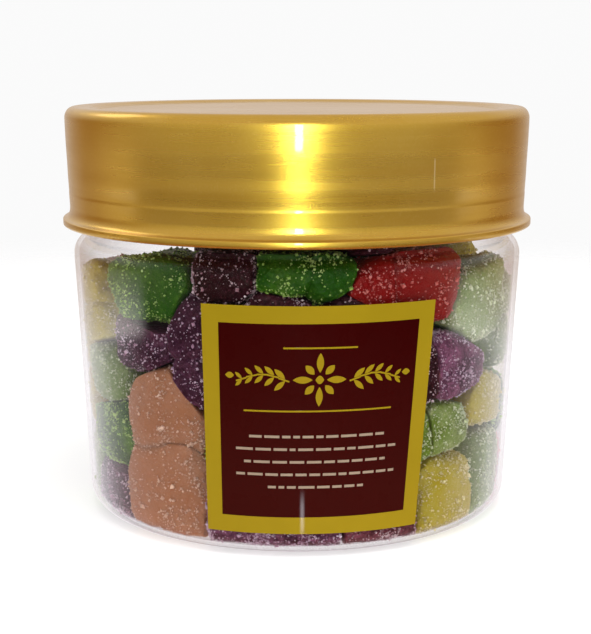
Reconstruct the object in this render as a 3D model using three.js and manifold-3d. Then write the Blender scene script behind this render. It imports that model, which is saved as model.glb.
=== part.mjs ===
// A shut round jar of clear plastic with a gold screw lid, a stuck-on label and a filling of sugared jelly candies.
// Millimetres, +Z up. The origin is the middle of the ring that the jar stands on; the label faces -Y.
import * as THREE from "three";
import { mergeVertices } from "three/addons/utils/BufferGeometryUtils.js";
import Module from "manifold-3d";

// ---- Jar ----
const BODY_TOP_RADIUS = 43.7; // the body's outside, carried on up to the plane of the lid's lower edge
const BODY_BASE_RADIUS = 41.4; // the same slanted side, carried on down to the table
const LID_BOTTOM = 55.4;
const WALL = 0.9;
const CORNER_RADIUS = 4.4; // between the side and the base
const STANDING_RING_INNER = 32.5;
const PUSH_UP = 0.8; // how far the middle of the base is raised off the table
const PUSH_UP_SLOPE = 1.6;
const FLOOR_HEIGHT = WALL + PUSH_UP; // the floor's raised middle; round it the floor is as thick as the wall
const FLOOR_CORNER = CORNER_RADIUS - WALL;
const SHOULDER_START = 49.8;
const SHOULDER_RADIUS = 4.2;
const SHOULDER_SWEEP = Math.PI / 3;
const NECK_RADIUS = 41.3;
const NECK_INNER = 40.3;
const NECK_BOTTOM = SHOULDER_START + SHOULDER_RADIUS;
const NECK_TOP = 75.4;
const RIM_ROUNDING = 0.3;

// ---- Lid ----
const LID_TOP = 77.6;
const LID_INNER_RADIUS = 42.3;
const LID_TOP_THICKNESS = 1.5;
const LID_SIDE_TOP_RADIUS = 44.65; // the side narrows a little on its way down
const LID_SIDE_LOW_RADIUS = 44.3;
const LID_SIDE_LOW = 62.8;
const LID_WAIST_RADIUS = 44.0;
const LID_WAIST_TOP = 61.9;
const LID_WAIST_BOTTOM = 58.5;
const LIP_RADIUS = 45.4; // the lip that sticks out all round the lower edge
const LIP_TOP = 56.7;
const LIP_EDGE_ROUNDING = 0.35;
const LID_CORNER_WIDTH = 2.2;
const LID_CORNER_HEIGHT = 2.6;
const LID_GROOVE_HEIGHT = 71.0;
const LID_GROOVE_DEPTH = 0.15;
const LID_GROOVE_HALF = 0.7;
const LID_PANEL_RADIUS = 38.6; // the flat middle of the top, a little lower than the ring round it
const LID_PANEL_DROP = 0.5;
const LID_PANEL_SLOPE = 1.2;

// ---- Label ----
const LABEL_GAP = 0.3;
const LABEL_THICKNESS = 0.25;
const LABEL_TOP = 45.6;
const LABEL_BOTTOM = 4.6;
const LABEL_LEFT = -22.3; // degrees round from -Y towards +X
const LABEL_RIGHT_TOP = 33.8;
const LABEL_RIGHT_BOTTOM = 30.7; // the right-hand edge is stuck on a little askew
const LABEL_COLUMNS = 14;
const LABEL_ROWS = 1;

// ---- Candies ----
const CANDY_GAP = 0.4; // to the inside of the jar
const CANDY_DEPTH = 13; // through the heap, from the wall inwards
const CANDY_ROUNDNESS = 4.2; // exponent of the rounded cube: 2 is a ball, more is squarer
const CANDY_FACE_STEPS = 2;
const CORE_RADIUS = 31;
const CORE_BOTTOM = 3;
const CORE_EDGE = 5;
const CORE_TOP = 55;
const CORE_TOP_EDGE = 10;
const CORE_SEGMENTS = 28;

const ROUND_SEGMENTS = 56;

// The candies that show beside and above the label: degrees round from the front, height of the middle,
// width, height and a turn in degrees about the line out from the jar's axis.
const FRONT_CANDIES = [
  { around: -69, high: 45.4, wide: 14.5, tall: 9.5, turn: -14 },
  { around: -41.5, high: 47.6, wide: 19.5, tall: 12.4, turn: 3 },
  { around: -18.4, high: 49.9, wide: 12.6, tall: 10, turn: -4 },
  { around: -2.6, high: 50.6, wide: 11, tall: 8.6, turn: 0 },
  { around: 8.5, high: 50.2, wide: 10, tall: 9, turn: 8 },
  { around: 19.5, high: 57.6, wide: 12.5, tall: 12, turn: 0 },
  { around: 17.8, high: 47.7, wide: 13.4, tall: 11.2, turn: -30 },
  { around: 34.6, high: 47.9, wide: 16.4, tall: 12.8, turn: 8 },
  { around: 56.5, high: 43.2, wide: 20, tall: 13.2, turn: -12 },
  { around: 48.5, high: 31.6, wide: 17.5, tall: 12.4, turn: -6 },
  { around: 64, high: 23.9, wide: 14, tall: 11.5, turn: 10 },
  { around: 44.8, high: 20.4, wide: 12.5, tall: 11.2, turn: -8 },
  { around: 67, high: 10.2, wide: 14.5, tall: 16, turn: 8 },
  { around: 47.4, high: 8.2, wide: 15.5, tall: 13.6, turn: 4 },
  { around: -66.5, high: 37.6, wide: 14.5, tall: 9.6, turn: -12 },
  { around: -43.4, high: 36, wide: 14.8, tall: 11.2, turn: 9 },
  { around: -25.5, high: 40.2, wide: 15, tall: 12.6, turn: -6 },
  { around: -24.5, high: 29.2, wide: 14.5, tall: 11.6, turn: 5 },
  { around: -64.5, high: 28.6, wide: 15.5, tall: 12, turn: 8 },
  { around: -60.5, high: 17.8, wide: 17, tall: 13.4, turn: -9 },
  { around: -36, high: 25.4, wide: 17.4, tall: 12.6, turn: -5 },
  { around: -37.2, high: 10.6, wide: 20, tall: 18.4, turn: 3 },
  { around: -63.5, high: 7, wide: 14.5, tall: 11.6, turn: 6 },
  { around: -15.5, high: 7.4, wide: 14.4, tall: 12.4, turn: -5 },
  { around: 2.5, high: 7.2, wide: 14.2, tall: 12, turn: 4 },
  { around: 23.5, high: 7.4, wide: 15.6, tall: 12.4, turn: -3 },
];
// The candies that the label hides, and those of the back, lie in even rows with small chance shifts.
const HIDDEN_ROWS = [
  { high: 20.4, from: -14, to: 26, count: 3 },
  { high: 31.6, from: -6, to: 30, count: 3 },
  { high: 41, from: -7, to: 14, count: 2 },
];
const BACK_ROWS = [
  { high: 8, from: 89, to: 273, count: 9 },
  { high: 21.4, from: 86, to: 276, count: 9 },
  { high: 33.6, from: 82, to: 272, count: 9 },
  { high: 45.4, from: 132, to: 228, count: 5 },
];
const TOP_ROW = { high: 56.6, from: 150, to: 210, count: 3 };
const ROW_CANDY = { wide: 15.4, tall: 12.8 };
const SHIFT_AROUND = 2.6;
const SHIFT_HIGH = 1.3;
const SIZE_SPREAD = 0.12;
const TURN_SPREAD = 17;

const degrees = Math.PI / 180;

// Radius of the body's outside at a height, on its slanted side.
function bodyRadius(high) {
  return BODY_BASE_RADIUS + ((BODY_TOP_RADIUS - BODY_BASE_RADIUS) * high) / LID_BOTTOM;
}

// Radius at a height of the space inside the jar, kept clear of the plastic by a gap: the rounded corner
// at the floor, the slanted body, the rounded shoulder and the neck.
function insideRadius(high, gap) {
  const corner = FLOOR_CORNER - gap;
  const below = Math.min(corner, CORNER_RADIUS - high);
  if (below > 0) return cornerCentre() + Math.sqrt(corner * corner - below * below);
  const shoulder = SHOULDER_RADIUS - WALL - gap;
  const above = Math.min(shoulder, high - SHOULDER_START);
  if (above <= 0) return bodyRadius(high) - WALL - gap;
  const curved = bodyRadius(SHOULDER_START) - SHOULDER_RADIUS;
  return Math.max(NECK_INNER - gap, curved + Math.sqrt(shoulder * shoulder - above * above));
}

// Radius of the circle where the rounded corner runs out into the base, inside and outside.
function cornerCentre() {
  return bodyRadius(CORNER_RADIUS) - CORNER_RADIUS;
}

// The lowest that a candy may lie at a distance from the axis, clear of the floor and its raised middle.
function lowestAt(away) {
  const inwards = (cornerCentre() - away) / (cornerCentre() - STANDING_RING_INNER);
  return WALL + CANDY_GAP + PUSH_UP * Math.min(1, Math.max(0, inwards));
}

// Points of an arc about a centre, angles in radians from the outward direction towards +Z.
function arc(centreRadius, centreHigh, radius, start, end, steps) {
  const points = [];
  for (let i = 0; i <= steps; i++) {
    const angle = start + ((end - start) * i) / steps;
    points.push([centreRadius + radius * Math.cos(angle), centreHigh + radius * Math.sin(angle)]);
  }
  return points;
}

// A solid of revolution about Z from radius and height pairs that run from the axis to the axis.
function turned(profile, segments) {
  const outline = profile.map(([radius, high]) => new THREE.Vector2(radius, high));
  const geometry = new THREE.LatheGeometry(outline, segments);
  geometry.rotateX(Math.PI / 2);
  return joined(geometry);
}

function joined(geometry) {
  geometry.deleteAttribute("normal");
  geometry.deleteAttribute("uv");
  return mergeVertices(geometry, 1e-4);
}

function jarProfile() {
  const shoulderCentre = bodyRadius(SHOULDER_START) - SHOULDER_RADIUS;
  const insideShoulder = arc(shoulderCentre, SHOULDER_START, SHOULDER_RADIUS - WALL, 0, 0.9, 3);
  return [
    [0, PUSH_UP],
    [STANDING_RING_INNER - PUSH_UP_SLOPE, PUSH_UP],
    [STANDING_RING_INNER, 0],
    ...arc(cornerCentre(), CORNER_RADIUS, CORNER_RADIUS, -Math.PI / 2, 0, 5),
    ...arc(shoulderCentre, SHOULDER_START, SHOULDER_RADIUS, 0, SHOULDER_SWEEP, 4),
    [NECK_RADIUS, NECK_BOTTOM],
    [NECK_RADIUS, NECK_TOP - RIM_ROUNDING],
    [NECK_RADIUS - RIM_ROUNDING, NECK_TOP],
    [NECK_INNER + RIM_ROUNDING, NECK_TOP],
    [NECK_INNER, NECK_TOP - RIM_ROUNDING],
    [NECK_INNER, NECK_BOTTOM],
    ...insideShoulder.reverse(),
    ...arc(cornerCentre(), CORNER_RADIUS, FLOOR_CORNER, 0, -Math.PI / 2, 4),
    [STANDING_RING_INNER, WALL],
    [STANDING_RING_INNER - PUSH_UP_SLOPE, FLOOR_HEIGHT],
    [0, FLOOR_HEIGHT],
  ];
}

function lidProfile() {
  const underTop = LID_TOP - LID_TOP_THICKNESS;
  const corner = arc(0, 0, 1, 0, Math.PI / 2, 5).map(([across, up]) => [
    LID_SIDE_TOP_RADIUS - LID_CORNER_WIDTH * (1 - across),
    LID_TOP - LID_CORNER_HEIGHT * (1 - up),
  ]);
  const flare = arc(0, 0, 1, Math.PI, Math.PI * 1.5, 3).map(([across, up]) => [
    LIP_RADIUS + (LIP_RADIUS - LID_WAIST_RADIUS) * across,
    LID_WAIST_BOTTOM + (LID_WAIST_BOTTOM - LIP_TOP) * up,
  ]);
  return [
    [0, underTop],
    [LID_INNER_RADIUS, underTop],
    [LID_INNER_RADIUS, LID_BOTTOM],
    [LIP_RADIUS - LIP_EDGE_ROUNDING, LID_BOTTOM],
    [LIP_RADIUS, LID_BOTTOM + LIP_EDGE_ROUNDING],
    ...flare.reverse(),
    [LID_WAIST_RADIUS, LID_WAIST_TOP],
    [LID_SIDE_LOW_RADIUS, LID_SIDE_LOW],
    [LID_SIDE_TOP_RADIUS, LID_GROOVE_HEIGHT - LID_GROOVE_HALF],
    [LID_SIDE_TOP_RADIUS - LID_GROOVE_DEPTH, LID_GROOVE_HEIGHT],
    [LID_SIDE_TOP_RADIUS, LID_GROOVE_HEIGHT + LID_GROOVE_HALF],
    ...corner,
    [LID_PANEL_RADIUS + LID_PANEL_SLOPE, LID_TOP],
    [LID_PANEL_RADIUS, LID_TOP - LID_PANEL_DROP],
    [0, LID_TOP - LID_PANEL_DROP],
  ];
}

// The label: a thin plate that follows the body's slanted side, just clear of it.
function labelGeometry() {
  const positions = [];
  const indices = [];
  const across = LABEL_COLUMNS + 1;
  const face = across * (LABEL_ROWS + 1);
  for (const lift of [LABEL_GAP + LABEL_THICKNESS, LABEL_GAP]) {
    for (let row = 0; row <= LABEL_ROWS; row++) {
      const down = row / LABEL_ROWS;
      const high = LABEL_TOP + (LABEL_BOTTOM - LABEL_TOP) * down;
      const right = LABEL_RIGHT_TOP + (LABEL_RIGHT_BOTTOM - LABEL_RIGHT_TOP) * down;
      for (let column = 0; column <= LABEL_COLUMNS; column++) {
        const angle = (LABEL_LEFT + ((right - LABEL_LEFT) * column) / LABEL_COLUMNS) * degrees;
        const radius = bodyRadius(high) + lift;
        positions.push(radius * Math.sin(angle), -radius * Math.cos(angle), high);
      }
    }
  }
  const quad = (a, b, c, d) => indices.push(a, b, c, a, c, d);
  for (let row = 0; row < LABEL_ROWS; row++) {
    for (let column = 0; column < LABEL_COLUMNS; column++) {
      const a = row * across + column;
      quad(a, a + across, a + across + 1, a + 1);
      quad(face + a, face + a + 1, face + a + across + 1, face + a + across);
    }
  }
  for (let row = 0; row < LABEL_ROWS; row++) {
    const left = row * across;
    const right = left + LABEL_COLUMNS;
    quad(left, face + left, face + left + across, left + across);
    quad(right, right + across, face + right + across, face + right);
  }
  const lowest = LABEL_ROWS * across;
  for (let column = 0; column < LABEL_COLUMNS; column++) {
    quad(column, column + 1, face + column + 1, face + column);
    quad(lowest + column, face + lowest + column, face + lowest + column + 1, lowest + column + 1);
  }
  const geometry = new THREE.BufferGeometry();
  geometry.setAttribute("position", new THREE.Float32BufferAttribute(positions, 3));
  geometry.setIndex(indices);
  return geometry;
}

// A repeatable chance value from -1 to 1.
function chance(key) {
  const wave = Math.sin(key * 12.9898 + 4.1414) * 43758.5453;
  return 2 * (wave - Math.floor(wave)) - 1;
}

// A row of candies, spread evenly round part of the wall and then shifted by chance.
function candyRow({ high, from, to, count }, key) {
  return Array.from({ length: count }, (_, i) => {
    const draw = (k) => chance(key * 100 + i * 10 + k);
    return {
      around: from + ((to - from) * i) / (count - 1) + SHIFT_AROUND * draw(1),
      high: high + SHIFT_HIGH * draw(2),
      wide: ROW_CANDY.wide * (1 + SIZE_SPREAD * draw(3)),
      tall: ROW_CANDY.tall * (1 + SIZE_SPREAD * draw(4)),
      turn: TURN_SPREAD * draw(5),
    };
  });
}

// One candy: a rounded cube, a little lopsided, laid against the wall and pressed flat where it would cross it.
// A candy of the body ends where the neck starts, and one in the neck stays inside the neck's radius.
function candyGeometry(candy, key) {
  const geometry = joined(new THREE.BoxGeometry(2, 2, 2, ...Array(3).fill(CANDY_FACE_STEPS)));
  const place = geometry.getAttribute("position");
  const inNeck = candy.high > NECK_BOTTOM;
  const outward = insideRadius(candy.high, CANDY_GAP) - CANDY_DEPTH / 2;
  const toWall = new THREE.Matrix4().makeRotationZ(candy.around * degrees);
  const twist = new THREE.Matrix4().makeRotationY(candy.turn * degrees);
  const point = new THREE.Vector3();
  for (let i = 0; i < place.count; i++) {
    point.fromBufferAttribute(place, i);
    const n = CANDY_ROUNDNESS;
    const reach = Math.abs(point.x) ** n + Math.abs(point.y) ** n + Math.abs(point.z) ** n;
    point.multiplyScalar(reach ** (-1 / n));
    point.x *= 1 + 0.1 * chance(key + 0.3) * point.z;
    point.z *= 1 + 0.1 * chance(key + 0.6) * point.x;
    point.set((point.x * candy.wide) / 2, (point.y * CANDY_DEPTH) / 2, (point.z * candy.tall) / 2);
    point.applyMatrix4(twist);
    point.y -= outward;
    point.applyMatrix4(toWall);
    point.z = Math.max(point.z + candy.high, lowestAt(Math.hypot(point.x, point.y)));
    if (!inNeck) point.z = Math.min(point.z, NECK_BOTTOM + CANDY_GAP);
    const limit = insideRadius(inNeck ? NECK_TOP : point.z, CANDY_GAP);
    const away = Math.hypot(point.x, point.y);
    if (away > limit) {
      point.x *= limit / away;
      point.y *= limit / away;
    }
    place.setXYZ(i, point.x, point.y, point.z);
  }
  return geometry;
}

const wasm = await Module();
wasm.setup();

function solidOf(geometry) {
  return new wasm.Manifold(
    new wasm.Mesh({
      numProp: 3,
      vertProperties: new Float32Array(geometry.getAttribute("position").array),
      triVerts: new Uint32Array(geometry.index.array),
    }),
  );
}

// The filling: every candy that shows, fused on a plain core. A hollow that the fusing shuts in is filled.
function heapGeometry() {
  const core = turned(
    [
      [0, CORE_BOTTOM],
      [CORE_RADIUS - CORE_EDGE, CORE_BOTTOM],
      [CORE_RADIUS, CORE_BOTTOM + CORE_EDGE],
      [CORE_RADIUS, CORE_TOP - CORE_TOP_EDGE],
      [CORE_RADIUS - CORE_TOP_EDGE, CORE_TOP],
      [0, CORE_TOP],
    ],
    CORE_SEGMENTS,
  );
  const rows = [...HIDDEN_ROWS, ...BACK_ROWS, TOP_ROW];
  const candies = [...FRONT_CANDIES, ...rows.flatMap((row, i) => candyRow(row, i + 1))];
  const fused = candies
    .map((candy, i) => solidOf(candyGeometry(candy, i)))
    .reduce((heap, candy) => heap.add(candy), solidOf(core));
  const [heap] = fused.decompose().sort((a, b) => b.volume() - a.volume());
  const mesh = heap.getMesh();
  const geometry = new THREE.BufferGeometry();
  geometry.setAttribute("position", new THREE.BufferAttribute(mesh.vertProperties, 3));
  geometry.setIndex(new THREE.BufferAttribute(mesh.triVerts, 1));
  return geometry;
}

const clearPlastic = new THREE.MeshStandardMaterial({
  color: 0xf4f0f2,
  roughness: 0.08,
  transparent: true,
  opacity: 0.25,
});
const goldLid = new THREE.MeshStandardMaterial({ color: 0xb98a35, roughness: 0.32, metalness: 0.85 });
const labelPaper = new THREE.MeshStandardMaterial({ color: 0x3a0508, roughness: 0.3 });
const jelly = new THREE.MeshStandardMaterial({ color: 0x4f7a35, roughness: 0.6 });

function part(name, geometry, material) {
  const mesh = new THREE.Mesh(geometry, material);
  mesh.name = name;
  return mesh;
}

const jarOfCandies = new THREE.Group();
jarOfCandies.add(
  part("jar", turned(jarProfile(), ROUND_SEGMENTS), clearPlastic),
  part("lid", turned(lidProfile(), ROUND_SEGMENTS), goldLid),
  part("label", labelGeometry(), labelPaper),
  part("candies", heapGeometry(), jelly),
);

export default jarOfCandies;
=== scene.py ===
"""A shut clear jar of sugared jelly candies with a gold lid and a square label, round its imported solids.

Shapes are worked out in millimetres and turned into metres when a mesh is made.
"""
import math

import bpy
import numpy as np
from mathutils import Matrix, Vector


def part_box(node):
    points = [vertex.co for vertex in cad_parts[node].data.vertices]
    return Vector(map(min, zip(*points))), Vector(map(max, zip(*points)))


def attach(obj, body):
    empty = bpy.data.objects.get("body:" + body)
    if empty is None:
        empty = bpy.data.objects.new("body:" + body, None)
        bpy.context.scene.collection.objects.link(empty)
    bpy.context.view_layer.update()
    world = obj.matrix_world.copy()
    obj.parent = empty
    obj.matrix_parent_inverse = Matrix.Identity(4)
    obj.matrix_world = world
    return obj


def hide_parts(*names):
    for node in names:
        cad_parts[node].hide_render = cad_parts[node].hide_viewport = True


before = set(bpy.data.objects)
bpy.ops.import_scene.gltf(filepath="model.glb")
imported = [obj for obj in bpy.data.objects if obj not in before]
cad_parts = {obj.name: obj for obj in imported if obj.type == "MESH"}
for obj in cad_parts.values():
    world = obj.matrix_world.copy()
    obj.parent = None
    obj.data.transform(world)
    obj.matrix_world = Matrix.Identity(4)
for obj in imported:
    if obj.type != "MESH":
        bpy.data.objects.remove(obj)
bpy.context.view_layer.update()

MM = 0.001

# ---- Jar: the lid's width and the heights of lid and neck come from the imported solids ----
LIP_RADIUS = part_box("lid")[1].x / MM
LID_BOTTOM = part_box("lid")[0].z / MM
LID_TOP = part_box("lid")[1].z / MM
NECK_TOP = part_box("jar")[1].z / MM
BODY_TOP_RADIUS = 43.7  # the body's slanted side, carried on up to the lid's lower edge
BODY_BASE_RADIUS = 41.4  # and down to the table
WALL = 0.9
CORNER_RADIUS = 4.4
PUSH_UP = 0.8  # how much higher the middle of the floor is
PUSH_UP_SLOPE = 1.6  # how far in from the ring it gets there
STANDING_RING_INNER = 32.5
NUB_RADIUS = 1.6  # a small nub under the middle
NUB_DEPTH = 0.35
NUB_SLOPE = 0.3
SOFTNESS = 0.5  # how far small corners are rounded
FLOOR_HEIGHT = WALL + PUSH_UP  # the raised middle; round it the floor is as thick as the wall
FLOOR_CORNER = CORNER_RADIUS - WALL
SHOULDER_START = 49.8
SHOULDER_RADIUS = 4.2
NECK_RADIUS = 41.3
NECK_INNER = 40.3
NECK_BOTTOM = SHOULDER_START + SHOULDER_RADIUS
NECK_STRAIGHT = NECK_BOTTOM + 0.5  # from here up the neck is straight
NECK_SOFTNESS = 0.3
SHOULDER_TURN = 60  # degrees, outside
SHOULDER_TURN_INSIDE = 52
ROUND_SEGMENTS = 256
SHARP_EDGE = 40  # degrees from which edges are shaded sharp

# ---- Lid ----
LID_THICKNESS = 1.5
LID_INNER = 42.3
LIP_TALL = 1.25
LIP_SOFTNESS = 0.35
FOOT_RADIUS = LIP_RADIUS - 0.35  # where the lip ends and the foot draws in
FOOT_BOTTOM = LID_BOTTOM + 1.4
FLARE_TALL = 1.9
WAIST_RADIUS = 44.02  # narrowest part of the side
WAIST_TOP = LID_BOTTOM + 3.6
# Radius and height of the small steps round the side, from the waist up.
SIDE_STEPS = [(44.125, 61.4), (44.10, 61.8), (44.13, 62.6), (44.24, 64.8), (44.28, 66.8), (44.45, 70.8)]
SIDE_RADIUS = 44.55
SIDE_TOP = 74.9
SIDE_SOFTNESS = 0.6
EDGE_WIDE = 1.75  # the rounded edge between side and top
EDGE_TALL = 2.1
RIM_OUTER = 42.0  # the flat rim round the slightly sunk top
RIM_INNER = 39.9
SUNK_RADIUS = 38.7
SUNK_DEPTH = 0.5

# ---- Short upright scratch in the lid's side ----
SCRATCH_ACROSS = 23.4
SCRATCH_LOW = 65.2
SCRATCH_HIGH = 70.2

# ---- Label: degrees round from the front, and heights ----
LABEL_LEFT = -22.3
LABEL_RIGHT_TOP = 33.8
LABEL_RIGHT_BOTTOM = 30.7
LABEL_TOP = 45.6
LABEL_BOTTOM = 4.6
LABEL_LIFT = 0.03
LABEL_THICKNESS = 0.12
LABEL_RADIUS = 43.0  # of the jar's side behind it, for sizes across the label
BORDER = 3.1
PRINT_SUNK = 0.02  # the print starts this deep in the sheet
PRINT_THICKNESS = 0.045

# ---- The label's ornament, in millimetres from the label's middle ----
SIGN_HIGH = 7.6
PETALS = 8
LONG_PETAL = (3.0, 3.4)  # how far out it lies, and its length
SHORT_PETAL = (2.5, 2.2)
PETAL_WIDE = 1.25
ROSETTE_MIDDLE = 1.5
SPRAY_START = 6.3
LEAF_PAIRS = 5
LEAF_STEP = 1.9
LEAF_SHRINK = 0.09  # how much smaller each pair is
LEAF_SIZE = (2.5, 0.95)
LEAF_AWAY = (0.75, 1.05)  # from its place on the stem, along and beside
LEAF_TILT = 42
STEM_RISE = 0.9
STEM_BEND = 0.42
STEM_SLOPE = 18
STEM_SIZE = (2.0, 0.28)
BUD_PLACE = (16.0, 0.6)
BUD_SIZE = (1.6, 1.1)
RULE_AWAY = 5.6  # of the rules below and above the sign
RULE_THICKNESS = 0.3
RULES = (27, 13)

# ---- Rows of dashes under it ----
DASH_ROWS = (25, 30, 27, 30, 18)  # how wide each row is
FIRST_ROW_DOWN = 2.6
ROW_STEP = 2.3
DASH_LONG = 2.1
DASH_SPREAD = 1.1
DASH_SHORTEST = 0.8
DASH_THICKNESS = 0.46
DASH_GAP = 0.5

# ---- Candies ----
CANDY_GAP = 0.1  # between a candy and the plastic
CANDY_DEPTH = 13.0
CANDY_ROUNDNESS = 3.7  # exponent of the rounded cube: 2 is a ball, more is squarer
CORE_RADIUS = 25.0
SHOWN_STEPS = 20  # faces along the edge of a candy that shows
HIDDEN_STEPS = 8
GRAINS_PER_MM2 = 3.1
GRAIN_SIZE = 0.145  # half the width of a middling sugar grain
GRAIN_SPREAD = 0.45
LUMP_SHARE = 0.05  # of the grains, those that are lumps
LUMP_SIZE = 1.7  # and how much larger they are
LARGE_GRAIN = 0.115  # from this size a grain has eight faces, and four below it
LARGEST_GRAIN = 2.4  # times the middling size, lumps apart
GRAIN_STRETCH = (0.65, 1.2)
GRAIN_PROUD = 0.35  # of its size, how far its middle lies off the skin
GRAIN_GAP = 0.05  # between a grain's middle and the plastic
GRAINS_LEAST = 0.35  # share of grains on skin without frost
GRAINS_BY_FROST = 0.75
FROST_COUNTED = 1.3  # more frost than this brings no more grains
DRIFT_PITCH = 0.55  # how close the drifts of grains follow each other
FINE_PITCH = 1.9
FINE_SHARE = 0.8
DRIFT_STRENGTH = 0.75
# Skin bears grains where it was pressed in less than this, and lies this far out or this high.
OPEN_PRESSED = 0.5
OPEN_FROM = 30.5
OPEN_ABOVE = 52
SEED = 7  # of the chance places of the grains
LOPSIDED = 0.1  # how much a candy may be wider at one end
# Uneven skin, wide waves and small ripples: height, pitch, number and what sets their directions apart.
WAVES = (0.022, 5.5, 4, (0.11, 0.17, 0.23))
RIPPLES = (0.006, 17, 6, (0.13, 0.19, 0.29))
NOD = 7  # degrees that a candy may lean back or forth
TWIST = 9  # and turn about its upright
# Degrees round from the front, height of the middle, width, height, turn, colour and frosting.
FRONT_CANDIES = [
    (-72, 44.6, 15, 9.5, -14, "yellow", 0.3),
    (-41.5, 47, 20.6, 12.8, -6, "green", 0.55),
    (-18.4, 49.9, 12.6, 10, -4, "plum", 0.28),
    (-2.6, 50.6, 11, 8.6, 0, "green", 0.45),
    (8.5, 49.6, 11, 9, 8, "green", 0.3),
    (19.5, 57.6, 12.5, 12, 0, "plum", 0.3),
    (19.4, 46.9, 15, 10.6, -30, "red", 0.3),
    (33.8, 48.6, 17, 14, 8, "red", 0.3),
    (56.5, 43.4, 20, 14.8, -12, "pale_green", 0.9),
    (46.5, 32, 17.5, 12.8, -6, "purple", 2.0),
    (63, 23.4, 17, 10.2, 10, "yellow", 0.5),
    (42.4, 21, 12.8, 11.2, -8, "pale_green", 1.4),
    (67, 10.2, 14.5, 16, 8, "pale_green", 0.5),
    (44.6, 8.6, 17, 14.2, 4, "yellow", 0.7),
    (-69, 38, 15, 9.4, -12, "yellow", 0.3),
    (-44.2, 36.6, 15.4, 12.2, 5, "purple", 0.45),
    (-25.5, 40.2, 15, 12.6, -6, "purple", 0.4),
    (-24.5, 30.6, 14.5, 10.6, 5, "purple", 0.45),
    (-64.5, 28.6, 15.5, 12, 8, "pale_green", 0.7),
    (-60.5, 17.8, 17, 13.4, -9, "green", 0.9),
    (-35.4, 24.8, 19.6, 18.6, -3, "orange", 0.6),
    (-37.2, 10.6, 20, 20, 3, "orange", 0.4),
    (-63.5, 7, 14.5, 11.6, 6, "purple", 0.8),
    (-15.5, 7.4, 14.4, 12.4, -5, "purple", 1.8),
    (2.5, 7.2, 14.2, 12, 4, "purple", 1.8),
    (23.5, 7.4, 15.6, 12.4, -3, "plum", 1.6),
]
# Low ones that close the heap at its left back and right side, in the same terms.
LOW_CANDIES = [
    (-134, 42.2, 16, 8.6, 5, "green", 0.5),
    (-113, 42.0, 16, 8.8, -6, "orange", 0.5),
    (-93, 41.8, 15.5, 9, 4, "yellow", 0.4),
    (83, 41.8, 14.5, 8.8, -4, "pale_green", 0.6),
    (101, 42.0, 15.5, 9, 5, "orange", 0.5),
]
# Front candies, by place in the list, whose frosting leans to one side as painted light, lighter on the
# side where more light falls; minus is left.
PAINTED_LIGHT_SIDE = {1: -2.2}
SIDE_SHARE = 0.35
SIDE_REACH = 8  # from a candy's middle to its most frosted part
RUBBED_SHARE = 0.4  # of the frosting, lost where a candy touches the plastic
NEAR_WALL = 0.6  # further from the plastic than this nothing is lost
RIM_FROST = 0.35  # added round pressed flats, in full where the skin was moved by RIM_FROM to RIM_TO
RIM_FROM = 0.25
RIM_TO = 0.9
ROW_FROST = 0.45
ROW_FROST_SPREAD = 0.2
# Rows of height, first and last degrees round, and number: behind the label, at the back, on top.
OUTER_ROWS = [(20.4, -14, 26, 3), (31.6, -6, 30, 3), (41, -7, 14, 2)]
OUTER_ROWS += [(8, 86, 277, 9), (21.4, 84, 278, 9), (33.6, 82, 276, 9), (45.4, 124, 204, 4)]
OUTER_ROWS += [(56.6, 150, 210, 3)]
INNER_ROWS = [(9, 10, 330, 8), (21.5, 30, 350, 8), (34, 5, 325, 8), (45.5, 120, 200, 3), (47, -24, 24, 3)]
INNER_SHIFT = 12.5  # how much nearer the axis the second layer lies
ROW_WIDE = 15.4
ROW_TALL = 12.8
SHIFT_AROUND = 2.6  # degrees that a candy may stand off its place in the row
SHIFT_HIGH = 1.3
SIZE_SPREAD = 0.12
TURN_SPREAD = 17
NEIGHBOUR_REACH = 26  # candies whose middles are further apart never touch
PRESS_GAP = 0.1  # left between candies that press on each other
PRESS_BEND = 0.3  # how soft the edge of a pressed flat is
PRESS_REACH = 2.5  # skin this far back from the flat isn't moved
WALL_BEND = 0.18  # how soft the edge of a flat against the plastic is
STUCK = 3.4  # how deep two front candies of one colour sink into each other
BOTTOM_ROW = 13.0  # candies whose middle is lower than this stand on the floor
BOTTOM_STRETCH = 2.6  # how much longer their lower half gets, before the floor presses it flat
SLOPED_FROM = 42.0  # candies higher than this and further round than the next value slope down inwards
SLOPED_SIDE = 30.0
BACK_SLOPE = 0.2

CORE_ABOVE_FLOOR = 1.5
CORE_TOP = 49.0
CORE_STEPS = 16
CORE_LUMPS = 0.05

# Deep colour of the jelly, its colour under sugar, and the colour of the sugar grains on it.
COLOURS = {
    "green": ((0.011, 0.080, 0.0004), (0.18, 0.37, 0.03), (0.52, 0.72, 0.22)),
    "purple": ((0.021, 0.0006, 0.009), (0.32, 0.12, 0.21), (0.78, 0.62, 0.74)),
    "plum": ((0.016, 0.0005, 0.002), (0.24, 0.06, 0.09), (0.80, 0.62, 0.66)),
    "red": ((0.25, 0.0008, 0.0012), (0.46, 0.030, 0.022), (0.82, 0.32, 0.28)),
    "yellow": ((0.44, 0.36, 0.012), (0.60, 0.52, 0.20), (0.90, 0.82, 0.50)),
    "orange": ((0.42, 0.185, 0.090), (0.56, 0.34, 0.24), (0.86, 0.60, 0.46)),
    "pale_green": ((0.13, 0.22, 0.015), (0.46, 0.52, 0.26), (0.78, 0.86, 0.60)),
}
COLOUR_SHARES = dict(
    green=0.22, purple=0.12, yellow=0.15, plum=0.13, red=0.12, orange=0.13, pale_green=0.13
)
# By number of the row, chosen colours of its first candies, which peep out past the label and front ones.
ROW_COLOURS = {
    1: ("green", "purple", "pale_green"),
    2: ("purple", "plum", "plum"),
    3: ("plum", "plum"),
    6: ("pale_green", "yellow"),
    7: ("yellow", "red"),
}


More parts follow.
